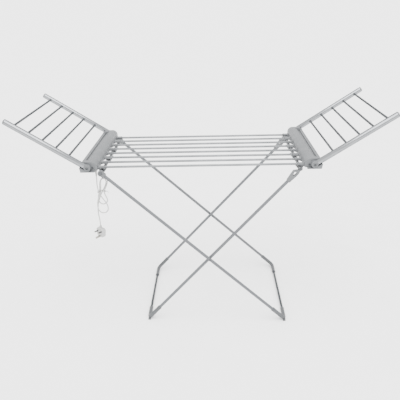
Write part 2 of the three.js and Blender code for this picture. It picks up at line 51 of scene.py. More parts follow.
def middle(node):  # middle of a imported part, metres
    low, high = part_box(node)
    return (low + high) / 2


def span(node, matrix):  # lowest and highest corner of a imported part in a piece's frame, mm
    toPiece = matrix.inverted()
    corners = [toPiece @ vertex.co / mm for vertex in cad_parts[node].data.vertices]
    low = Vector(min(corner[axis] for corner in corners) for axis in range(3))
    high = Vector(max(corner[axis] for corner in corners) for axis in range(3))
    return low, high


def armFrame(pivot, point):  # x from the pivot along a rail or leg, z on its upper side
    along = Vector((point.x - pivot.x, 0, point.z - pivot.z)).normalized()
    across = Vector((0, math.copysign(1, along.x), 0))
    turned = Matrix((along, across, along.cross(across))).transposed()
    return Matrix.Translation((pivot.x, 0, pivot.z)) @ turned.to_4x4()


def aside(matrix, y):  # the same frame, moved y mm along its own y
    return matrix @ Matrix.Translation((0, y * mm, 0))


cameraView = {"place": (0.0462, -2.1645, 1.3542), "yaw": -0.0267, "pitch": -0.3849, "roll": -0.0249,
              "lens": 46.81, "sensor": 36}


def makeCamera():
    yaw, pitch, roll = cameraView["yaw"], cameraView["pitch"], cameraView["roll"]
    ahead = Vector((math.sin(yaw) * math.cos(pitch), math.cos(yaw) * math.cos(pitch), math.sin(pitch)))
    level = ahead.cross(Vector((0, 0, 1))).normalized()
    upright = level.cross(ahead)
    right = level * math.cos(roll) + upright * math.sin(roll)
    up = upright * math.cos(roll) - level * math.sin(roll)
    data = bpy.data.cameras.new("camera")
    data.lens = cameraView["lens"]
    data.sensor_width = cameraView["sensor"]
    camera = bpy.data.objects.new("camera", data)
    camera.matrix_world = (Matrix.Translation(cameraView["place"])
                           @ Matrix((right, up, -ahead)).transposed().to_4x4())
    bpy.context.scene.collection.objects.link(camera)
    bpy.context.scene.camera = camera


makeCamera()


def meshPiece(name, corners, faces):
    mesh = bpy.data.meshes.new(name)
    mesh.from_pydata([tuple(corner) for corner in corners], [], faces)
    work = bmesh.new()
    work.from_mesh(mesh)
    bmesh.ops.recalc_face_normals(work, faces=work.faces)
    work.to_mesh(mesh)
    work.free()
    piece = bpy.data.objects.new(name, mesh)
    bpy.context.scene.collection.objects.link(piece)
    return piece


def arc(centre, radius, start, end, steps):  # points on a circle, angles in degrees
    turns = [math.radians(start + (end - start) * step / steps) for step in range(steps + 1)]
    return [Vector((centre[0] + radius * math.cos(turn), centre[1] + radius * math.sin(turn)))
            for turn in turns]


def rounded(corners, closed=True, steps=4):  # an outline of (a, b, radius) corners, rounded off
    outline = []
    for index, (a, b, radius) in enumerate(corners):
        here = Vector((a, b))
        if radius == 0 or (not closed and index in (0, len(corners) - 1)):
            outline.append(here)
            continue
        before = Vector(corners[index - 1][:2]) - here
        after = Vector(corners[(index + 1) % len(corners)][:2]) - here
        half = before.angle(after) / 2
        reach = min(radius / math.tan(half), 0.48 * min(before.length, after.length))
        centre = here + (before.normalized() + after.normalized()).normalized() * reach / math.cos(half)
        first = here + before.normalized() * reach - centre
        last = here + after.normalized() * reach - centre
        start = math.atan2(first.y, first.x)
        sweep = (math.atan2(last.y, last.x) - start + math.pi) % (2 * math.pi) - math.pi
        outline += arc(centre, first.length, math.degrees(start), math.degrees(start + sweep), steps)
    return outline


def rectangle(left, right, low, high, corner, steps=4):
    return rounded([(left, low, corner), (right, low, corner), (right, high, corner), (left, high, corner)],
                   steps=steps)


def lathed(name, profile, sides=40, loop=False):  # (x, radius) profile turned about x
    corners, rings = [], []
    for x, radius in profile:
        if radius < 1e-6:
            rings.append([len(corners)])
            corners.append((x, 0, 0))
            continue
        rings.append(list(range(len(corners), len(corners) + sides)))
        corners += [(x, point.x, point.y) for point in arc((0, 0), radius, 0, 360, sides)[:-1]]
    faces = []
    for one, other in zip(rings, rings[1:] + rings[:1] if loop else rings[1:]):
        for side in range(sides):
            a, b = one[side % len(one)], one[(side + 1) % len(one)]
            c, d = other[(side + 1) % len(other)], other[side % len(other)]
            faces.append(list(dict.fromkeys((a, b, c, d))))  # a triangle where a ring is a single point
    return meshPiece(name, corners, faces)


def inset(outline, distance):  # the outline moved inwards, with mitred corners
    count = len(outline)
    area = sum(outline[i - 1].x * outline[i].y - outline[i].x * outline[i - 1].y for i in range(count))
    moved = []
    for i, point in enumerate(outline):
        sides = [(point - outline[i - 1]).normalized(), (outline[(i + 1) % count] - point).normalized()]
        inward = [Vector((-side.y, side.x)) * math.copysign(1, area) for side in sides]
        share = max(1 + inward[0].dot(inward[1]), 0.3)
        moved.append(point + (inward[0] + inward[1]) * distance / share)
    return moved


def extruded(name, outline, low, high, edge=0.6, steps=3):  # (x, z) outline along y, its edges rounded
    count = len(outline)
    ease = [(low + edge - point.x, edge - point.y) for point in arc((0, 0), edge, 0, 90, steps)]
    rows = ease + [(low + high - y, depth) for y, depth in reversed(ease)]
    corners = [(point.x, y, point.y) for y, depth in rows for point in inset(outline, depth)]
    faces = [list(range(count)), list(range(len(corners) - count, len(corners)))]
    for row in range(len(rows) - 1):
        for i in range(count):
            j = (i + 1) % count
            faces.append([row * count + i, row * count + j, (row + 1) * count + j, (row + 1) * count + i])
    return meshPiece(name, corners, faces)


def swept(name, path, radii, sides=24):  # a round section along a path of points
    corners, faces = [], []
    tangents = [(path[min(i + 1, len(path) - 1)] - path[max(i - 1, 0)]).normalized()
                for i in range(len(path))]
    up = tangents[0].orthogonal().normalized()
    for point, tangent, radius in zip(path, tangents, radii):
        up = (up - tangent * up.dot(tangent)).normalized()
        other = tangent.cross(up)
        for turn in arc((0, 0), radius, 0, 360, sides)[:-1]:
            corners.append(point + up * turn.x + other * turn.y)
    for ring in range(len(path) - 1):
        for side in range(sides):
            a, b = ring * sides + side, ring * sides + (side + 1) % sides
            faces.append([a, b, b + sides, a + sides])
    faces += [list(range(sides)), list(range(len(corners) - sides, len(corners)))]
    return meshPiece(name, corners, faces)


def moved(piece, matrix):
    piece.data.transform(matrix)
    return piece


def carved(base, joins=(), cuts=()):  # joins and cuts solids, and removes them
    for operation, tools in (("UNION", joins), ("DIFFERENCE", cuts)):
        for tool in tools:
            step = base.modifiers.new(operation, "BOOLEAN")
            step.operation = operation
            step.object = tool
            step.solver = "MANIFOLD"
    bpy.context.view_layer.update()
    result = bpy.data.meshes.new_from_object(base.evaluated_get(bpy.context.evaluated_depsgraph_get()))
    base.modifiers.clear()
    base.data = result
    for tool in [*joins, *cuts]:
        bpy.data.objects.remove(tool)
    return base


def bore(radius, start, end, y=0, z=0, sides=32):  # a cutting pin along x
    return moved(lathed("bore", [(start, 0), (start, radius), (end, radius), (end, 0)], sides),
                 Matrix.Translation((0, y, z)))


def peg(start, end, radius, edge, sides):  # a round peg along x, its far end rounded off
    corners = [(start, 0, 0), (start, radius, 0), (end, radius, edge), (end, 0, 0)]
    return lathed("peg", rounded(corners, closed=False, steps=3), sides)


alongY = Matrix.Rotation(math.radians(90), 4, "Z")
alongZ = Matrix.Rotation(math.radians(-90), 4, "Y")
flat = Matrix(((1, 0, 0, 0), (0, 0, 1, 0), (0, 1, 0, 0), (0, 0, 0, 1)))  # lays an outline in x and y


def facing(side):  # turns x to +y or to -y
    return alongY if side > 0 else alongY.inverted()


def linear(hexColour):  # sRGB hex to the linear values that shaders take
    values = [int(hexColour[i:i + 2], 16) / 255 for i in (1, 3, 5)]
    return [value / 12.92 if value <= 0.04045 else ((value + 0.055) / 1.055) ** 2.4
            for value in values] + [1]


def addNode(tree, kind, settings=None, links=None):
    node = tree.nodes.new(kind)
    for key, value in (settings or {}).items():
        if isinstance(key, int) or key in node.inputs:
            node.inputs[key].default_value = value
        else:
            setattr(node, key, value)
    for key, (source, output) in (links or {}).items():
        tree.links.new(source.outputs[output], node.inputs[key])
    return node


def surface(name, settings, colour, gloss=None, bump=None):
    # A shader whose colour, gloss and bump each follow a noise. Each begins with the size of its blobs
    # along x, y and z of the piece, mm, and its detail. Then the colour has two tones, the gloss two
    # roughnesses, and the bump its strength and its depth in mm.
    material = bpy.data.materials.new(name)
    material.use_nodes = True
    tree = material.node_tree
    tree.nodes.clear()
    shader = addNode(tree, "ShaderNodeBsdfPrincipled", settings)
    addNode(tree, "ShaderNodeOutputMaterial", links={"Surface": (shader, "BSDF")})
    place = addNode(tree, "ShaderNodeTexCoord")
    noises = []
    for pattern in (colour, gloss, bump):
        if pattern:
            size, detail = pattern[:2]
            scaled = addNode(tree, "ShaderNodeMapping", {"Scale": [1 / (length * mm) for length in size]},
                             {"Vector": (place, "Object")})
            noises.append(addNode(tree, "ShaderNodeTexNoise", {"Scale": 1.0, "Detail": detail},
                                  {"Vector": (scaled, "Vector")}))
    ramp = addNode(tree, "ShaderNodeValToRGB", links={"Fac": (noises[0], "Fac")})
    for element, position, tone in zip(ramp.color_ramp.elements, (0.35, 0.65), colour[2:]):
        element.position = position
        element.color = linear(tone)
    tree.links.new(ramp.outputs["Color"], shader.inputs["Base Color"])
    if gloss:
        sheen = addNode(tree, "ShaderNodeMapRange", {"To Min": gloss[2], "To Max": gloss[3]},
                        {"Value": (noises[1], "Fac")})
        tree.links.new(sheen.outputs["Result"], shader.inputs["Roughness"])
    if bump:
        relief = addNode(tree, "ShaderNodeBump", {"Strength": bump[2], "Distance": bump[3] * mm},
                         {"Height": (noises[2], "Fac")})
        tree.links.new(relief.outputs["Normal"], shader.inputs["Normal"])
    return material


def anodisedAluminium(name, darker, lighter, roughness, metallic, level):
    # Extruded, then satin anodised: fine die lines run the length of the tube, and the oxide film
    # spreads the highlight into a soft band with a slightly uneven gloss. Real lines are 0.1 mm wide.
    dieLines = ((160, 0.7, 0.7), 3)
    # the grazing reflection is tinted near black, a painted shade along the edges of each tube
    edgeShadeTint = (0.1, 0.1, 0.1, 1)
    return surface(name, {"Metallic": metallic, "Specular IOR Level": level, "Specular Tint": edgeShadeTint},
                   ((60, 14, 14), 2, darker, lighter), (*dieLines, *roughness), (*dieLines, 0.35, 0.05))


def mouldedAbs(name, darker, lighter):
    # Injection moulded in a spark-eroded tool: an even fine grain that breaks up the highlight, with
    # faint flow clouding across wide faces. Real grain is 0.1 mm; drawn coarser, to show.
    grain = ((0.9, 0.9, 0.9), 2)
    return surface(name, {"IOR": 1.53}, ((45, 45, 45), 3, darker, lighter), (*grain, 0.44, 0.62),
                   (*grain, 0.5, 0.06))


def powderCoatedSteel(name, darker, lighter):
    # Silver polyester powder, baked: a gentle orange peel, and aluminium flake that dots the colour and
    # the gloss. Real flake is 0.05 mm; drawn coarser, to show.
    flake = ((0.5, 0.5, 0.5), 1)
    return surface(name, {"Metallic": 0.1, "Specular IOR Level": 0.12}, (*flake, darker, lighter),
                   (*flake, 0.34, 0.48), ((3.5, 3.5, 3.5), 2, 0.4, 0.08))


def zincPlatedSteel():
    # Drawn wire, zinc plated and handled: a dark grey metal, cloudy where the passivation is thicker, with
    # draw lines along it that are drawn wider than the real 0.05 mm, to show.
    clouds = ((9, 5, 5), 3)
    return surface("zincPlatedSteel", {"Metallic": 1.0}, (*clouds, "#4a4c4e", "#5e6062"),
                   (*clouds, 0.28, 0.46), ((40, 0.5, 0.5), 2, 0.3, 0.03))


def whitePvc():
    # Soft extruded PVC: a faintly waxy off-white with a low, broad gloss and slight drag ripples.
    ripples = ((2.2, 2.2, 2.2), 2)
    waxy = {"IOR": 1.53, "Subsurface Weight": 0.08, "Subsurface Radius": (0.002, 0.002, 0.002)}
    return surface("whitePvc", waxy, ((25, 25, 25), 2, "#a2a2a0", "#acacaa"), (*ripples, 0.34, 0.46),
                   (*ripples, 0.3, 0.05))


def blackNylon():
    # Moulded sleeve on a plug pin: near black, dull, with a fine tool grain in tone and gloss.
    grain = ((0.6, 0.6, 0.6), 2)
    return surface("blackNylon", {"IOR": 1.53}, (*grain, "#101011", "#1b1b1c"), (*grain, 0.38, 0.55))


def platedBrass():
    # Nickel-plated brass, rubbed by the socket: a warm grey metal with fine insertion scratches.
    scratches = ((0.4, 9, 0.4), 2)
    return surface("platedBrass", {"Metallic": 1.0}, (*scratches, "#8f8c84", "#a39f95"),
                   (*scratches, 0.18, 0.34))


finishes = {
    "aluminium": (anodisedAluminium("anodisedAluminium", "#808285", "#8b8d8f", (0.18, 0.3), 1.0, 0.5),
                  "aluminium_tube"),
    "barAluminium": (anodisedAluminium("anodisedAluminiumBar", "#717375", "#7d7f81", (0.4, 0.55), 0.5, 0.2),
                     "aluminium_tube"),
    "mattAluminium": (anodisedAluminium("anodisedAluminiumMatt", "#414345", "#494b4d", (0.6, 0.75), 0.1,
                                        0.02), "aluminium_tube"),
    "abs": (mouldedAbs("mouldedAbs", "#56585a", "#5d5f61"), "grey_abs"),
    # the same grey ABS as the beams, made darker for the foot elbows by the floor: the darkness is painted
    # shade
    "absPaintedShade": (mouldedAbs("mouldedAbsPaintedShade", "#3e4042", "#454749"), "grey_abs"),
    "steel": (powderCoatedSteel("powderCoatedSteel", "#56585a", "#606265"), "coated_steel"),
    # the same silver powder coat as the legs, made darker for the foot bar by the floor: the darkness is
    # painted shade
    "steelPaintedShade": (powderCoatedSteel("powderCoatedSteelPaintedShade", "#35373a", "#3e4042"), "coated_steel"),
    "zinc": (zincPlatedSteel(), "zinc_steel"),
    "pvc": (whitePvc(), "white_pvc"),
    "nylon": (blackNylon(), "black_nylon"),
    "brass": (platedBrass(), "brass_pin"),
}
print("materials made:", len(finishes))


def finished(piece, matrix, body, nodes, finish, sharp=35):  # sets a piece into the frame
    piece.data.transform(Matrix.Scale(mm, 4))
    if finish in ("abs", "absPaintedShade", "pvc"):  # even all over, so the place can go into the mesh
        piece.data.transform(matrix)
    else:
        piece.matrix_world = matrix
    material, slotName = finishes[finish]
    piece.data.materials.clear()
    piece.data.materials.append(material)
    piece.data.shade_smooth()
    piece.data.set_sharp_from_angle(angle=math.radians(sharp))
    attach(piece, body)
    if nodes:
        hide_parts(*nodes)
    return piece


def hollowTube(name, low, high, radius, wall, edge=0.35, sides=40):
    profile = rounded([(low, radius - wall, edge), (low, radius, edge), (high, radius, edge),
                       (high, radius - wall, edge)], steps=2)
    return lathed(name, profile, sides, loop=True)


cordRoute = {  # mm from the tip of the strain relief: down, through the tie, four loops, to the plug
    "radius": 2.3, "clear": 0.3, "length": 0.8646,
    "points": [(0, 0, 0), (0, 0, -13), (-1, 0, -29), (0, 0, -49), (4, -1, -70), (14, 0, -92),
               (27, 2, -114), (34, 4, -134), (32, 5, -150), (21, 7, -161), (5, 8, -161), (-6, 9, -150),
               (-9, 9, -131), (-6, 9, -109), (2, 8, -89), (10, 5, -69), (13, -1, -47), (15, -5, -27),
               (18, -1, -14), (26, 10, -9), (34, 20, -14), (37, 24, -27), (33, 22, -46), (25, 16, -64),
               (23, 13, -77), (28, 13, -93), (32, 15, -108), (27, 16, -121), (14, 16, -127),
               (1, 16, -121), (-4, 16, -108), (-3, 15, -90), (4, 11, -70), (8, 5, -50), (10, 2, -34),
               (13, 6, -22), (20, 16, -17), (27, 26, -22), (30, 30, -34), (25, 27, -53),
               (14, 20, -72), (4, 22, -92), (-5, 23, -115), (-11, 21, -141), (-11, 16, -169),
               (-7, 12, -196), (-6, 11, -221)],
}
reliefLow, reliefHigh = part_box("cord_strain_relief")
reliefTip = Vector(((reliefLow.x + reliefHigh.x) / 2, (reliefLow.y + reliefHigh.y) / 2, reliefLow.z))
cordStart = Matrix.Translation(reliefTip + Vector((0, 0, -cordRoute["clear"] * mm)))


def smoothPath(points, steps):  # centripetal Catmull-Rom, with a mirrored point beyond each end
    points = [2 * points[0] - points[1], *points, 2 * points[-1] - points[-2]]
    path = []
    for a, b, c, d in zip(points, points[1:], points[2:], points[3:]):
        t1 = (b - a).length ** 0.5
        t2 = t1 + (c - b).length ** 0.5
        t3 = t2 + (d - c).length ** 0.5
        for step in range(steps):
            t = t1 + (t2 - t1) * step / steps
            ab = a * (t1 - t) / t1 + b * t / t1
            bc = b * (t2 - t) / (t2 - t1) + c * (t - t1) / (t2 - t1)
            cd = c * (t3 - t) / (t3 - t2) + d * (t - t2) / (t3 - t2)
            path.append((ab * (t2 - t) / t2 + bc * t / t2) * (t2 - t) / (t2 - t1)
                        + (bc * (t3 - t) / (t3 - t1) + cd * (t - t1) / (t3 - t1)) * (t - t1) / (t2 - t1))
    return path + [points[-2]]


cordPath = smoothPath([Vector(point) for point in cordRoute["points"]], 8)


def makeCord():
    cord = swept("mains_cord_flex", cordPath, [cordRoute["radius"]] * len(cordPath), 20)
    finished(cord, cordStart, "table", ["mains_cord"], "pvc")
    return cord, [cordStart @ (point * mm) for point in cordPath]


cordFlex, cordLine = makeCord()
print("cord made:", round(sum((b - a).length for a, b in zip(cordLine, cordLine[1:])), 4), "m")

strainRelief = {"length": 30, "tip": 1.2, "wall": 1, "ribs": 6, "ribWidth": 2.4, "ribGap": 1.7,
                "ribDepth": 0.7, "collar": 4.5, "spigotStep": 2.4, "bore": 2.45}


def makeStrainRelief():  # tapered sleeve with flex ribs and a snap-in flange against the beam
    place = Matrix.Translation(reliefTip) @ alongZ
    high = span("cord_strain_relief", place)[1]
    sizes = strainRelief
    length, gap, deep, hole = sizes["length"], sizes["ribGap"], sizes["ribDepth"], sizes["bore"]
    thick = high.y
    thin = cordRoute["radius"] + sizes["wall"]
    profile = [(0, hole, 0.2), (0, thin, 0.4)]
    for rib in range(sizes["ribs"]):
        start = sizes["tip"] + rib * (sizes["ribWidth"] + gap)
        radius = thin + (thick - 1 - thin) * start / length
        profile += [(start, radius, 0.3), (start + gap * 0.5, radius - deep, 0.3),
                    (start + gap, radius - deep, 0.3), (start + gap * 1.5, radius + 0.3, 0.3)]
    flange, spigot = length - sizes["collar"], thick - sizes["spigotStep"]
    profile += [(flange - 1, thick - 1, 0.4), (flange, thick, 0.5), (length, thick, 0.5),
                (length, spigot, 0.2), (high.x, spigot, 0.6), (high.x, hole, 0.2)]
    relief = lathed("strain_relief_sleeve", rounded(profile, steps=3), 32, loop=True)
    return finished(relief, place, "table", ["cord_strain_relief"], "pvc", 50)


relief = makeStrainRelief()

plug = {"edge": 3.2, "half": 20, "corner": 10, "shoulder": 6, "pinSeat": 0.3, "neckRibs": 3,
        "neckPitch": 2.8, "gripHalf": 3.2, "gripFlat": 0.28, "gripDepth": 1.4, "gripPitch": 4.4}
plugPin = {"corner": 0.8, "edge": 0.6, "sleeveEdge": 0.3, "step": 0.25, "tipEdge": 0.45, "tip": 3.2}


def plugFrame():  # x across the pins, y towards the back of the plug, z up to the cord
    across = (middle("plug_live_pin") - middle("plug_neutral_pin")).normalized()
    if across.x < 0:
        across = -across
    back = Vector((0, 0, 1)).cross(across)
    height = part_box("plug_body")[0].z + plug["half"] * mm
    return (Matrix.Translation((cordLine[-1].x, cordLine[-1].y, height))
            @ Matrix((across, back, Vector((0, 0, 1)))).transposed().to_4x4())


plugPlace = plugFrame()


def makePlugBody():  # moulded body with rounded shoulders, a grip waist and a ribbed neck
    wide, deep, neckTop = span("plug_body", plugPlace)[1]
    top, corner = plug["half"], plug["corner"]
    narrow = wide - plug["shoulder"]
    outline = rounded([(-narrow, -top, corner), (narrow, -top, corner), (wide, top, corner),
                       (-wide, top, corner)], steps=8)
    body = extruded("plug_moulded_body", outline, -deep, deep, plug["edge"], 5)
    profile = [(top - 4, 0, 0), (top - 4, 7.4, 0), (top + 0.5, 6.6, 1)]
    for rib in range(plug["neckRibs"]):
        start = top + 1.2 + rib * plug["neckPitch"]
        profile += [(start, 5, 0.4), (start + 0.6, 3.9, 0.3), (start + 1.4, 3.9, 0.3), (start + 2, 4.9, 0.4)]
    profile += [(neckTop, 4.4, 0.6), (neckTop, 0, 0)]
    neck = moved(lathed("neck", rounded(profile, closed=False, steps=2), 32), alongZ)
    cuts = []
    for node in ("plug_live_pin", "plug_neutral_pin", "plug_earth_pin"):
        low, high = span(node, plugPlace)
        gap = plug["pinSeat"]
        seat = rectangle(low.x - gap, high.x + gap, low.z - gap, high.z + gap, 0.3)
        cuts.append(extruded("socket", seat, -deep - 1, high.y + gap, 0.1, 1))
    tall = plug["gripHalf"]
    ridge = rectangle(-wide - 2, -wide + plug["gripDepth"], -tall, tall, 1)
    for side in (-1, 1):
        for row in range(3):
            groove = [Vector((side * point.x, point.y * plug["gripFlat"] + row * plug["gripPitch"] - 2))
                      for point in ridge]
            cuts.append(extruded("grip", groove, -deep - 1, deep + 1, 0.1, 1))
    carved(body, [neck], cuts)
    return finished(body, plugPlace, "table", ["plug_body"], "pvc", 40)


def makePlugPin(node, sleeved):  # a bar with eased edges; a sleeve covers all but the tip of it
    low, high = span(node, plugPlace)
    outline = rectangle(low.x, high.x, low.z, high.z, plugPin["corner"], 3)
    if not sleeved:
        pin = extruded(node + "_bar", outline, low.y, high.y, plugPin["edge"], 3)
        return [finished(pin, plugPlace, "table", [node], "brass", 40)]
    sleeveStart = low.y + plugPin["tip"]
    sleeve = extruded(node + "_sleeve", outline, sleeveStart, high.y, plugPin["sleeveEdge"], 2)
    tip = extruded(node + "_tip", inset(outline, plugPin["step"]), low.y, sleeveStart + 1,
                   plugPin["tipEdge"], 3)
    return [finished(sleeve, plugPlace, "table", [node], "nylon", 40),
            finished(tip, plugPlace, "table", [], "brass", 40)]


plugPieces = [makePlugBody(), *makePlugPin("plug_live_pin", True), *makePlugPin("plug_neutral_pin", True),
              *makePlugPin("plug_earth_pin", False)]

wireTie = {"height": -70, "catch": 4, "wire": 0.9, "turns": 2, "pitch": 2, "clear": 0.4, "tail": 14,
           "sag": 0.02}


def makeWireTie():  # twist tie: two turns of plastic-coated wire round the bundle, and a twisted tail
    height, wire, pitch = wireTie["height"], wireTie["wire"], wireTie["pitch"]
    strands = [Vector((point.x, point.y, 0)) for point in cordPath
               if abs(point.z - height) < wireTie["catch"]]
    centre = Vector((sum(p.x for p in strands), sum(p.y for p in strands), 0)) / len(strands)
    off = cordRoute["radius"] + wireTie["clear"] + wire
    loop = []
    for step in range(36 * wireTie["turns"] + 1):
        turn = math.radians(10 * step)
        direction = Vector((math.cos(turn), math.sin(turn), 0))
        reach = max((strand - centre).dot(direction) for strand in strands) + off
        loop.append(centre + direction * reach + Vector((0, 0, height + step / 36 * pitch - pitch)))
    tail = []
    for step in range(1, 19):
        turn = math.radians(100 * step)
        tail.append(loop[-1] + Vector((step * wireTie["tail"] / 18, -wire + wire * math.cos(turn),
                                       wire * math.sin(turn) - wireTie["sag"] * step * step)))
    path = smoothPath(loop + tail, 3)
    return finished(swept("cord_wire_tie", path, [wire] * len(path), 12), cordStart, "table", [], "pvc")


tie = makeWireTie()
print("plug and tie made:", len(plugPieces), "plug pieces")

barNodes = ["dryer_bar_%d" % (i + 1) for i in range(8)]
barLow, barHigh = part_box(barNodes[0])
barAxis = (barLow.z + barHigh.z) / 2 / mm
barRadius = (barHigh.z - barLow.z) / 2 / mm
barRows = [middle(node).y / mm for node in barNodes]
dryerBar = {"wall": 1, "seat": 7}
tableHalf = barHigh.x / mm - dryerBar["seat"]  # middle of the table to the inner face of a beam


def makeDryerBar(node):
    place = Matrix.Translation(middle(node))
    low, high = span(node, place)
    bar = hollowTube(node + "_tube", low.x, high.x, barRadius, dryerBar["wall"])
    return finished(bar, place, "table", [node], "barAluminium")


for node in barNodes:
    makeDryerBar(node)

endBeam = {
    "width": 67, "top": 31, "bottom": -5, "innerRound": 22, "outerRound": 23, "crown": 4, "slant": 5,
    "grooveIn": 45, "grooveOut": 53, "grooveDepth": 14, "stripDrop": 8, "edge": 1.2, "wall": 3,
    "solidEnd": 52, "earDepth": 24, "earTop": 53, "earEdge": 1.6, "chamfer": 7, "pinGrip": 18,
    "pinHole": 3.3, "cradleEdge": 0.7, "turnGap": 0.5, "glandHole": 3.8, "glandSeat": 10.3,
    "collarRadius": 7.4, "collarLength": 25, "collarLip": 0.9, "lugReach": 31, "lugEdge": 3, "lugSeat": 9,
    "lugWall": 3.7, "lugThick": 12, "lugMargin": 45.5, "ribPitch": 62.3, "ribThick": 2.2, "clear": 0.3,
    "endMargin": 29.45,
}
beamScrew = {"inset": 17, "rise": 12, "sink": 3.4, "sinkDepth": 1.6, "head": 3.1, "height": 1.2, "seat": 1.5}
rodRadius = (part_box("left_pivot_rod")[1].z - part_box("left_pivot_rod")[0].z) / 2 / mm
beamHalf = barRows[-1] + endBeam["endMargin"]  # the end faces of a beam, behind the cradles


def beamSection(low, top):  # two rounds with a flat crown, a groove and an outer strip, x outwards
    inner, outer, width = endBeam["innerRound"], endBeam["outerRound"], endBeam["width"]
    crown = inner + endBeam["crown"]
    grooveIn, grooveOut = endBeam["grooveIn"], endBeam["grooveOut"]
    sweep = math.degrees(math.asin((grooveIn - crown) / outer))
    floor, strip = top - endBeam["grooveDepth"], top - endBeam["stripDrop"]
    section = [Vector((0, low))] + arc((inner, top - inner), inner, 180, 90, 12)
    section += arc((crown, top - outer), outer, 90, 90 - sweep, 8)
    return section + rounded([(grooveIn, floor + 1, 0), (grooveIn, floor, 0.9), (grooveOut, floor, 1.5),
                              (grooveOut, strip, 1.5), (width, strip, 2.5),
                              (width - endBeam["slant"], low, 0)], closed=False, steps=3)


def earSection(low, top):  # the solid end: flat to the top corner, then sloping to the strip
    inner, width, chamfer = endBeam["innerRound"], endBeam["width"], endBeam["chamfer"]
    section = arc((inner, top - inner), inner, 180, 90, 12)
    return section + rounded([(endBeam["earTop"] - 6, top, 0), (endBeam["earTop"], top, 2),
                              (width, top - endBeam["stripDrop"], 3), (width - endBeam["slant"], low, 3),
                              (chamfer, low, 2), (0, low + chamfer, 2), (0, low + chamfer + 2, 0)],
                             closed=False, steps=4)


def cradleSection(label, pivot, low, top):  # a floor hollowed to the knuckle, and the rest under the rail
    front = armFrame(middle(label + "_front_hinge_pin"), middle(label + "_wing_front_rail"))
    rise = math.asin(front.to_3x3().col[0].z)
    clear = span(label + "_wing_front_knuckle", front)[1].z + endBeam["turnGap"]
    under = span(label + "_wing_front_rail", front)[1].z + endBeam["turnGap"]
    hollow = arc((pivot.x, pivot.z), clear, -90, math.degrees(rise + math.acos(under / clear)) - 90, 14)
    foot, lean = endBeam["width"] - endBeam["slant"], endBeam["slant"] / (top - endBeam["stripDrop"] - low)
    start = hollow[-1]
    run = (foot + lean * (start.y - low) - start.x) / (1 - lean * math.tan(rise))
    return [Vector((endBeam["chamfer"], hollow[0].y)), *hollow] + rounded(
        [(start.x, start.y, 0), (start.x + run, start.y + run * math.tan(rise), 1.6), (foot, low, 2),
         (endBeam["chamfer"], low, 0)], closed=False)[1:]


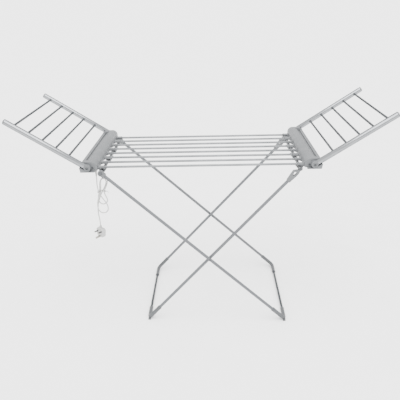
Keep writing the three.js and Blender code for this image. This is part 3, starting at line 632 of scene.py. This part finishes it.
def makeEndBeam(label, side):
    low, top = endBeam["bottom"] + barAxis, endBeam["top"] + barAxis
    width, clear, wall = endBeam["width"], endBeam["clear"], endBeam["wall"]
    halfTurn = Matrix.Rotation(0 if side > 0 else math.pi, 4, "Z")
    place = Matrix.Translation((side * tableHalf * mm, 0, 0)) @ halfTurn
    rodPlace = place.inverted() @ middle(label + "_pivot_rod") / mm
    pivotPlace = place.inverted() @ middle(label + "_front_hinge_pin") / mm
    cradleReach = max(abs(corner.y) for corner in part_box(label + "_end_beam")) / mm
    beam = extruded(label + "_end_beam_moulding", beamSection(low, top), -beamHalf, beamHalf,
                    endBeam["edge"], 4)
    joins, cuts = [], []
    hollowHalf = beamHalf - endBeam["solidEnd"]
    roof = top - endBeam["grooveDepth"] - wall
    far = width - endBeam["slant"] - wall
    hollow = rounded([(wall, low - 1, 0), (wall, roof, 16), (far, roof, 2), (far, low - 1, 0)])
    halfRib = endBeam["ribThick"] / 2
    ribs = [-hollowHalf, *[(step - 2.5) * endBeam["ribPitch"] for step in range(6)], hollowHalf]
    for start, end in zip(ribs, ribs[1:]):  # pockets between the stiffening ribs under the beam
        cuts.append(extruded("pocket", hollow, start + halfRib, end - halfRib, 0.8, 2))
    for end in (-1, 1):
        faces = sorted((end * (beamHalf - endBeam["earDepth"]), end * beamHalf))
        joins.append(extruded("ear", earSection(low, top), faces[0], faces[1], endBeam["earEdge"], 4))
        faces = sorted((end * (beamHalf - 1 - endBeam["earEdge"]), end * cradleReach))
        joins.append(extruded("cradle", cradleSection(label, pivotPlace, low, top), faces[0], faces[1],
                              endBeam["cradleEdge"], 3))
        outwards = facing(end)
        pinHole = moved(bore(endBeam["pinHole"], -endBeam["pinGrip"] - clear, 2), outwards)
        cuts.append(moved(pinHole, Matrix.Translation((pivotPlace.x, end * beamHalf, pivotPlace.z))))
        screwPlace = Matrix.Translation((beamScrew["inset"], end * beamHalf, low + beamScrew["rise"]))
        cuts.append(moved(bore(beamScrew["sink"], -beamScrew["sinkDepth"], 2), screwPlace @ outwards))
        for row in (barRows[4] * 2, beamHalf - endBeam["lugMargin"]):
            reach, half = -endBeam["lugReach"], endBeam["lugThick"] / 2
            lug = [Vector((reach, low + 1)), Vector((reach, low - endBeam["lugEdge"])),
                   *arc((rodPlace.x, rodPlace.z), rodRadius + clear + endBeam["lugWall"], 205, 335, 12),
                   Vector((endBeam["lugSeat"], low + 1))]
            joins.append(extruded("lug", lug, end * row - half, end * row + half, 0.8, 3))
    for row in barRows:
        mouth, radius = -endBeam["collarLength"], endBeam["collarRadius"]
        neck = radius - endBeam["collarLip"]
        profile = rounded([(mouth, 0, 0), (mouth, radius, 0.8), (mouth + 3.2, radius, 0.5),
                           (mouth + 3.8, neck, 0.4), (-6, neck + 0.3, 1.5), (-1.5, radius + 1.4, 1),
                           (1.5, radius + 2.4, 0), (1.5, 0, 0)], closed=False, steps=3)
        joins.append(moved(lathed("collar", profile, 36), Matrix.Translation((0, row, barAxis))))
        cuts.append(bore(barRadius + clear, mouth - 1, dryerBar["seat"] + clear, row, barAxis, 32))
    cuts.append(moved(moved(bore(rodRadius + clear, -beamHalf, beamHalf), alongY),
                      Matrix.Translation((rodPlace.x, 0, rodPlace.z))))
    if side < 0:
        seat = place.inverted() @ reliefTip / mm
        hole = moved(bore(endBeam["glandHole"], low - 1, low + endBeam["glandSeat"]), alongZ)
        cuts.append(moved(hole, Matrix.Translation((seat.x, seat.y, 0))))
    carved(beam, joins, cuts)
    finished(beam, place, "table", [label + "_end_beam"], "abs", 32)
    for end in (-1, 1):
        screw = makeScrew(label + ("_front" if end * side < 0 else "_back") + "_beam_screw")
        at = Vector((beamScrew["inset"], end * (beamHalf - beamScrew["seat"]), low + beamScrew["rise"])) * mm
        finished(screw, place @ Matrix.Translation(at) @ facing(end), "table", [], "zinc", 40)


def crossCut(depth, reach, width, top):  # the cross recess of a screw, cut from the top down x
    bars = []
    for turn in (0, 90):
        bar = extruded("recess", rectangle(-reach, reach, -width / 2, width / 2, 0.1), top - depth, top + 2,
                       0.05, 1)
        bars.append(moved(bar, alongY.inverted() @ Matrix.Rotation(math.radians(turn), 4, "Y")))
    return bars


def makeScrew(name):  # pan head with a cross recess, facing +x
    radius, height = beamScrew["head"], beamScrew["height"]
    shares = ((0, 0), (0, 1), (0.4, 1), (0.75, 0.86), (0.95, 0.55), (1, 0))  # of the height and the radius
    head = lathed(name, [Vector((height * x, radius * reach)) for x, reach in shares], 32)
    return carved(head, [], crossCut(height * 0.6, radius * 0.62, radius * 0.3, height))


makeEndBeam("left", -1)
makeEndBeam("right", 1)
print("end beams made")


def makePivotRod(node):  # drawn rod with a rounded upset head at each end
    place = Matrix.Translation(middle(node)) @ alongY
    low, high = span(node, place)
    head = high.y
    profile = [(low.x, 0, 0), (low.x, head, 1), (low.x + 2, head, 0.5), (low.x + 2, rodRadius, 0.2),
               (high.x - 2, rodRadius, 0.2), (high.x - 2, head, 0.5), (high.x, head, 1), (high.x, 0, 0)]
    rod = lathed(node + "_wire", rounded(profile, closed=False, steps=3), 32)
    return finished(rod, place, "table", [node], "zinc")


makePivotRod("left_pivot_rod")
makePivotRod("right_pivot_rod")

wingRail = {"wall": 1.2, "holeClear": 0.3, "edge": 0.4}
wingKnuckle = {"edge": 2.2, "neck": 0.3, "neckStep": 0.35, "hub": 8.2, "dish": 0.9, "pinHole": 3.3,
               "counterbore": 5.4, "counterboreDepth": 4, "spigotStep": 1.5}
wingBar = {"wall": 0.8, "bead": 1.1, "beadWidth": 1.6, "faceGap": 0.15}
endCap = {"dome": 4.6, "reach": 6, "spigotStep": 1.5}
hingePin = {"shank": 3, "head": 3.2}


def makeWing(label, body):
    pivot = middle(label + "_front_hinge_pin")
    rest = armFrame(pivot, middle(label + "_wing_front_rail"))
    bars = ["%s_wing_bar_%d" % (label, i + 1) for i in range(5)]
    barPlaces = [rest.inverted() @ middle(node) / mm for node in bars]
    under, over = span(bars[0], rest)
    drillRadius = (over.z - under.z) / 2 + wingRail["holeClear"]
    for end in ("front", "back"):
        rail = "%s_wing_%s_rail" % (label, end)
        low, high = span(rail, rest)
        y, radius = (low.y + high.y) / 2, (high.z - low.z) / 2
        outward = math.copysign(1, y)
        place = aside(rest, y)
        tube = hollowTube(rail + "_tube", low.x, high.x, radius, wingRail["wall"], wingRail["edge"], 48)
        holes = []
        for barPlace in barPlaces:
            drill = moved(bore(drillRadius, 4, radius + 2), facing(-outward))
            holes.append(moved(drill, Matrix.Translation((barPlace.x, 0, 0))))
        finished(carved(tube, [], holes), place, body, [rail], "aluminium", 40)
        makeKnuckle("%s_wing_%s_knuckle" % (label, end), place, outward, radius, low.x, body)
        makeEndCap("%s_wing_%s_end_cap" % (label, end), place, radius, body)
        makeHingePin("%s_%s_hinge_pin" % (label, end), place, outward, body)
    face = min(abs(corner.y) for corner in span(label + "_wing_front_rail", rest)) + wingBar["faceGap"]
    for node, barPlace in zip(bars, barPlaces):
        low, high = span(node, rest)
        radius, half, wide = (high.z - low.z) / 2, (high.y - low.y) / 2, wingBar["beadWidth"]
        bead, inside = radius + wingBar["bead"], radius - wingBar["wall"]
        profile = [(-half, inside, 0.2), (-half, radius, 0.2), (-face, radius, 0.1), (-face, bead, 0.5),
                   (-face + wide, bead, 0.6), (-face + wide + 1, radius, 0.6),
                   (face - wide - 1, radius, 0.6), (face - wide, bead, 0.6), (face, bead, 0.5),
                   (face, radius, 0.1), (half, radius, 0.2), (half, inside, 0.2)]
        tube = lathed(node + "_tube", rounded(profile, steps=2), 32, loop=True)
        place = rest @ Matrix.Translation((barPlace.x * mm, 0, 0)) @ alongY
        finished(tube, place, body, [node], "mattAluminium")


def makeKnuckle(node, place, outward, railRadius, railStart, body):  # round boss, dished face, neck, spigot
    low, high = span(node, place)
    radius = high.z
    inner, outer = low.y, high.y
    edge, dish, hub = wingKnuckle["edge"], wingKnuckle["dish"], wingKnuckle["hub"]
    profile = [(inner, 0, 0), (inner, radius, edge), (outer, radius, edge), (outer, 0, 0)]
    boss = moved(lathed(node + "_boss", rounded(profile, closed=False, steps=5), 56), alongY)
    neck = peg(2, railStart - wingKnuckle["neck"], railRadius - wingKnuckle["neckStep"], 0.4, 48)
    spigot = peg(4, high.x, railRadius - wingKnuckle["spigotStep"], 1.5, 40)
    toFace = Matrix.Translation((0, outer if outward > 0 else inner, 0)) @ facing(outward)
    ring = [(-dish, hub, 0.4), (-dish, radius - 3.4, 0.4), (1, radius - 3, 0), (1, hub - 0.4, 0)]
    dishCut = moved(lathed("dish", rounded(ring, steps=2), 56, loop=True), toFace)
    pinCut = moved(bore(wingKnuckle["pinHole"], -40, 2), toFace)
    headCut = moved(bore(wingKnuckle["counterbore"], -wingKnuckle["counterboreDepth"], 2), toFace)
    carved(boss, [neck, spigot], [dishCut, pinCut, headCut])
    return finished(boss, place, body, [node], "abs", 35)


def makeEndCap(node, place, railRadius, body):  # domed plug with a fine lip and a spigot inside the rail
    low, high = span(node, place)
    lip, domeStart = high.x - endCap["reach"], high.x - endCap["dome"]
    inside = railRadius - endCap["spigotStep"]
    corners = [(low.x, 0), (low.x, railRadius - 2.2), (low.x + 1, inside), (lip - 0.8, inside),
               (lip, railRadius - 1.4), (lip, railRadius - 0.3), (lip + 0.3, railRadius)]
    corners += [(domeStart + point.x * endCap["dome"], point.y * railRadius)
                for point in arc((0, 0), 1, 90, 0, 10)[:-1]] + [(high.x, 0)]
    cap = lathed(node + "_dome", [Vector(corner) for corner in corners], 48)
    return finished(cap, place, body, [node], "abs")


def makeHingePin(node, place, outward, body):  # shouldered screw pin with a cross recess
    here = place @ facing(outward)
    low, high = span(node, here)
    crown, head, shank = high.x, high.y, hingePin["shank"]
    seat = crown - hingePin["head"]
    profile = [(low.x, 0, 0), (low.x, shank - 0.4, 0.3), (low.x + 1, shank, 0.3), (seat, shank, 0.2),
               (seat, head, 0.4), (crown - 1, head, 0.9), (crown, head * 0.6, 1), (crown, 0, 0)]
    pin = lathed(node + "_screw", rounded(profile, closed=False, steps=3), 36)
    carved(pin, [], crossCut(1.8, 3, 1.1, crown))
    return finished(pin, here, body, [node], "zinc", 40)


makeWing("left", "left_wing")
makeWing("right", "right_wing")
print("wings made")

legTube = {"wall": 1.1, "edge": 0.3, "rivetHole": 2.8}
footTube = {"wall": 1, "edge": 0.3}
pivotEye = {"half": 9.5, "edge": 1.0, "pocket": 0.9, "pocketInner": 6.4, "pocketLip": 6.1, "bore": 4.3}
rodClip = {"lip": 7.7, "bore": 4.3, "reach": 9, "shoulder": 28, "edge": 0.5}
legSpigot = {"radius": 5.1, "edge": 1.2, "gap": 0.3}  # of an eye or a clip, inside the leg
footElbow = {"bend": 15, "leg": 72, "cross": 78, "seat": 20, "collar": 6, "collarOver": 0.5, "web": 32,
             "webThick": 5, "padLength": 34, "padWidth": 12, "clear": 0.3, "legWall": 1.7, "crossWall": 2.1}
crossingRivet = {"shank": 2.5, "dome": 1.1}


def makeLegFrame(label, body, rodNode, fitting):
    rest = armFrame(middle(rodNode), middle(label + "_front_leg"))
    footBar = label + "_foot_bar"
    for end in ("front", "back"):
        leg = "%s_%s_leg" % (label, end)
        low, high = span(leg, rest)
        y, radius = (low.y + high.y) / 2, (high.z - low.z) / 2
        outward = math.copysign(1, y)
        place = aside(rest, y)
        tube = hollowTube(leg + "_tube", low.x, high.x, radius, legTube["wall"], legTube["edge"])
        rivet = rest.inverted() @ middle(end + "_crossing_rivet") / mm
        hole = moved(bore(legTube["rivetHole"], -radius - 2, radius + 2), alongY)
        moved(hole, Matrix.Translation((rivet.x, 0, 0)))
        finished(carved(tube, [], [hole]), place, body, [leg], "steel", 40)
        fitting("%s_%s_" % (label, end), place, radius, body)
        makeFootElbow("%s_%s_foot_elbow" % (label, end), place, -outward, radius, footBar, body)
    crossPlace = Matrix.Translation(middle(footBar)) @ alongY
    low, high = span(footBar, crossPlace)
    cross = hollowTube(footBar + "_tube", low.x, high.x, high.y, footTube["wall"], footTube["edge"])
    # the foot bar takes the darker copy of the coat, painted shade near the floor
    finished(cross, crossPlace, body, [footBar], "steelPaintedShade")


def makeFootElbow(node, place, inward, legRadius, footBar, body):
    # bent sleeve with stepped collars at both mouths, a web in the corner and a flat foot
    corner = (place.inverted() @ middle(footBar) / mm).x
    clear = footElbow["clear"]
    sleeve = legRadius + clear + footElbow["legWall"]
    crossRadius = span(footBar, place)[1].z
    crossSleeve = crossRadius + clear + footElbow["crossWall"]
    bend, legReach, crossReach = footElbow["bend"], footElbow["leg"], footElbow["cross"]
    collar = footElbow["collar"]

    def arm(reach, radius):  # distances from the corner and radii, from the mouth inwards
        wide = radius + footElbow["collarOver"]
        return [(reach, wide - 0.5), (reach - 0.5, wide), (reach - collar, wide),
                (reach - collar - 0.6, radius), (bend + 1, radius)]

    legArm, crossArm = arm(legReach, sleeve), arm(crossReach, crossSleeve)[::-1]
    path = [Vector((corner - x, 0, 0)) for x, radius in legArm]
    radii = [radius for x, radius in legArm]
    for step in range(13):
        turn = math.radians(90 * step / 12)
        path.append(Vector((corner - bend + bend * math.sin(turn),
                            inward * (bend - bend * math.cos(turn)), 0)))
        radii.append(sleeve + (crossSleeve - sleeve) * step / 12)
    path += [Vector((corner, inward * y, 0)) for y, radius in crossArm]
    radii += [radius for y, radius in crossArm]
    elbow = swept(node + "_moulding", path, radii, 32)
    web = footElbow["web"]
    curve = [Vector((corner - web - 10, 0)), Vector((corner - 2, 0)), Vector((corner, 2 * inward)),
             Vector((corner, inward * (web + 10)))]
    hollow = [Vector((corner - 4 - (web + 2) * math.cos(math.radians(a)) ** 3,
                      inward * (4 + (web + 2) * math.sin(math.radians(a)) ** 3)))
              for a in range(85, 0, -10)]
    thick = footElbow["webThick"]
    plate = moved(extruded("web", curve + hollow, -thick / 2, thick / 2, 0.7, 2), flat)
    slope = math.atan2(place.to_3x3().col[0].z, abs(place.to_3x3().col[0].x))
    floor = (place.translation.z + place.to_3x3().col[0].z * corner * mm) / mm
    level = Matrix.Translation((corner, 0, 0)) @ Matrix.Rotation(slope, 4, "Y")
    wide = footElbow["padWidth"] / 2
    foot = rounded([(-wide, -floor, 1.5), (wide, -floor, 1.5), (wide - 1, 0, 0), (1 - wide, 0, 0)], steps=4)
    padEnds = sorted((-inward * (sleeve - 1), inward * (footElbow["padLength"] - sleeve + 1)))
    pad = moved(extruded("foot", foot, padEnds[0], padEnds[1], 1.4, 3), level)
    seat = footElbow["seat"]
    legCut = bore(legRadius + clear, corner - legReach - 1, corner - seat + 0.3)
    crossCutter = moved(bore(crossRadius + clear, seat - 0.3, crossReach + 1), facing(inward))
    carved(elbow, [plate, pad], [legCut, moved(crossCutter, Matrix.Translation((corner, 0, 0)))])
    # the foot elbows take the darker copy of the ABS, painted shade near the floor
    return finished(elbow, place, body, [node], "absPaintedShade", 35)


def makePivotEye(prefix, place, legRadius, body):  # round eye, square shoulder, sunk side faces, spigot
    node = prefix + "pivot_eye"
    low, high = span(node, place)
    half, thick = pivotEye["half"], high.y
    head = -low.x
    meet = math.degrees(math.asin(half / head))
    outline = arc((0, 0), head, meet, 360 - meet, 40)
    length = span(prefix + "leg", place)[0].x - legSpigot["gap"]
    outline += rounded([(length - 3, -half, 0), (length, -half, 1.2), (length, half, 1.2),
                        (length - 3, half, 0)], closed=False, steps=3)
    eye = extruded(node + "_block", outline, low.y, high.y, pivotEye["edge"], 4)
    spigot = peg(length - 2, high.x, legSpigot["radius"], legSpigot["edge"], 32)
    cuts = [moved(bore(pivotEye["bore"], -thick - 1, thick + 1), alongY)]
    bottom = thick - pivotEye["pocket"]
    for side in (-1, 1):  # a sunk ring round the rod
        ring = rounded([(bottom, pivotEye["pocketInner"], 0.3), (bottom, head - 2, 0.3),
                        (thick + 1, head - 1.7, 0), (thick + 1, pivotEye["pocketLip"], 0)], steps=2)
        cuts.append(moved(lathed("sink", ring, 48, loop=True), facing(side)))
    carved(eye, [spigot], cuts)
    return finished(eye, place, body, [node], "abs", 35)


def makeRodClip(prefix, place, legRadius, body):  # snap clip open to one side, tapered arm with a window
    node = prefix + "rod_clip"
    low, high = span(node, place)
    length = span(prefix + "leg", place)[0].x - legSpigot["gap"]
    down = math.atan2(-place.to_3x3().col[0].z, abs(place.to_3x3().col[0].x))

    def mouth(along, across):
        return Vector((along * math.cos(down) - across * math.sin(down),
                       along * math.sin(down) + across * math.cos(down)))

    lip, hole = rodClip["lip"], rodClip["bore"]
    turn = math.degrees(down)
    outline = [mouth(rodClip["reach"], hole), mouth(rodClip["reach"], lip)]
    outline += arc((0, 0), lip, turn + 90, turn + 270, 24)
    outline += [Vector((length * 0.3, -legRadius - 2.4)), Vector((length * 0.45, -legRadius - 3))]
    outline += rounded([(length * 0.6, -legRadius - 2.6, 0), (length, -legRadius - 1, 1),
                        (length, legRadius + 1, 1), (length - 6, legRadius + 2.2, 0)], closed=False, steps=3)
    outline += [mouth(rodClip["shoulder"], -hole - 2.5), mouth(rodClip["reach"] - 4, -hole)]
    outline += arc((0, 0), hole, turn + 270, turn + 90, 24)
    clip = extruded(node + "_arm", outline, low.y, high.y, rodClip["edge"], 3)
    spigot = peg(length - 2, high.x, legSpigot["radius"], legSpigot["edge"], 32)
    window = rounded([(17, -1, 1.5), (25, 9, 2), (44, 3.5, 1.5), (32, -2, 1.5)], steps=4)
    carved(clip, [spigot], [extruded("window", window, low.y - 1, high.y + 1, 0.1, 1)])
    return finished(clip, place, body, [node], "abs", 35)


makeLegFrame("outer", "outer_legs", "left_pivot_rod", makePivotEye)
makeLegFrame("inner", "inner_legs", "right_pivot_rod", makeRodClip)


def makeRivet(node):  # shouldered rivet with domed heads, a washer-like shoulder between the legs
    place = Matrix.Translation(middle(node)) @ alongY
    toPiece, vertices = place.inverted(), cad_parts[node].data.vertices
    corners = sorted({round((toPiece @ vertex.co).x / mm, 2) for vertex in vertices})
    head, shank, dome = span(node, place)[1].y, crossingRivet["shank"], crossingRivet["dome"]
    ends = [corners[0]]
    for x in corners:
        if x - ends[-1] > 0.5:
            ends.append(x)
    a, b, c, d, e, f = ends
    profile = [(a, 0, 0), (a, head * 0.6, 1.2), (a + dome, head, 0.6), (b, head, 0.3), (b, shank, 0.1),
               (c, shank, 0.1), (c, head, 0.4), (d, head, 0.4), (d, shank, 0.1), (e, shank, 0.1),
               (e, head, 0.3), (f - dome, head, 0.6), (f, head * 0.6, 1.2), (f, 0, 0)]
    rivet = lathed(node + "_domed", rounded(profile, closed=False, steps=3), 32)
    return finished(rivet, place, "outer_legs", [node], "zinc")


makeRivet("front_crossing_rivet")
makeRivet("back_crossing_rivet")
print("leg frames made")

studio = {"floorHalf": 300, "world": 2.4, "sun": 6.2, "sunAngle": 60, "sunFrom": (0.05, -0.6, 1.25)}


def makeStudio():  # pale card floor, even white surround, one broad soft light from above and in front
    half = studio["floorHalf"]
    corners = [(-half, -half, 0), (half, -half, 0), (half, half, 0), (-half, half, 0)]
    floor = meshPiece("studio_floor", corners, [[0, 1, 2, 3]])
    # Matt card: no highlight, with a barely seen unevenness in the white.
    card = surface("matPaper", {"Roughness": 0.9, "Specular IOR Level": 0.1},
                   ((180, 180, 180), 2, "#f8f8f8", "#fafafa"))
    floor.data.materials.append(card)
    world = bpy.data.worlds.new("studio")
    world.use_nodes = True
    surround = world.node_tree.nodes["Background"].inputs
    surround["Color"].default_value = (1, 1, 1, 1)
    surround["Strength"].default_value = studio["world"]
    bpy.context.scene.world = world
    data = bpy.data.lights.new("softbox", "SUN")
    data.energy = studio["sun"]
    data.angle = math.radians(studio["sunAngle"])
    light = bpy.data.objects.new("softbox", data)
    light.matrix_world = Vector(studio["sunFrom"]).to_track_quat("Z", "Y").to_matrix().to_4x4()
    bpy.context.scene.collection.objects.link(light)


makeStudio()
print("studio made")
